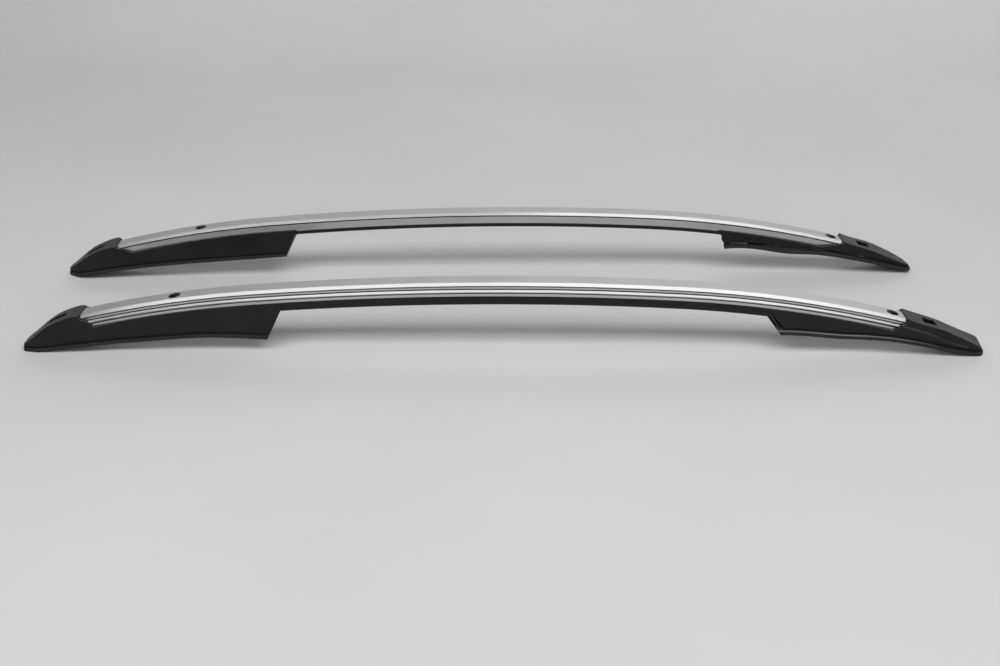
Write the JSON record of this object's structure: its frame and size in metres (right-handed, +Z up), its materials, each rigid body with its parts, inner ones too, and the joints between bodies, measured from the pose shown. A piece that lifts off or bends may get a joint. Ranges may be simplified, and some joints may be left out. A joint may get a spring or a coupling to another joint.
{
  "type": "roof side rail pair",
  "caption": "Pair of arched aluminium roof side rails with black moulded feet, rubber gaskets and bolt sleeves for the roof of a car.",
  "frame": {"origin": "on the floor, under the middle of the pair's bounding box", "axes": "+X along the rails from their rear feet to their front feet, +Y from the right rail to the left rail, +Z up"},
  "size_m": [1.928, 0.4924, 0.1488],
  "materials": {
    "satin_aluminium": "satin anodised",
    "black_plastic": "fine grained moulding",
    "black_rubber": "matt",
    "plated_steel": "zinc plated"
  },
  "bodies": {
    "root": {"right_rail_bar": "satin_aluminium", "right_under_moulding": "black_plastic", "right_rear_foot": "black_plastic", "right_front_foot": "black_plastic", "right_rear_gasket": "black_rubber", "right_front_gasket": "black_rubber", "right_rear_bracket": "plated_steel", "right_front_bracket": "plated_steel", "right_bolt_sleeves": "plated_steel", "right_foot_screws": "plated_steel", "right_access_screw": "plated_steel", "right_tail_screw": "plated_steel", "left_rail_bar": "satin_aluminium", "left_under_moulding": "black_plastic", "left_rear_foot": "black_plastic", "left_front_foot": "black_plastic", "left_rear_gasket": "black_rubber", "left_front_gasket": "black_rubber", "left_rear_bracket": "plated_steel", "left_front_bracket": "plated_steel", "left_bolt_sleeves": "plated_steel", "left_foot_screws": "plated_steel", "left_access_screw": "plated_steel", "left_tail_screw": "plated_steel"}
  },
  "joints": []
}
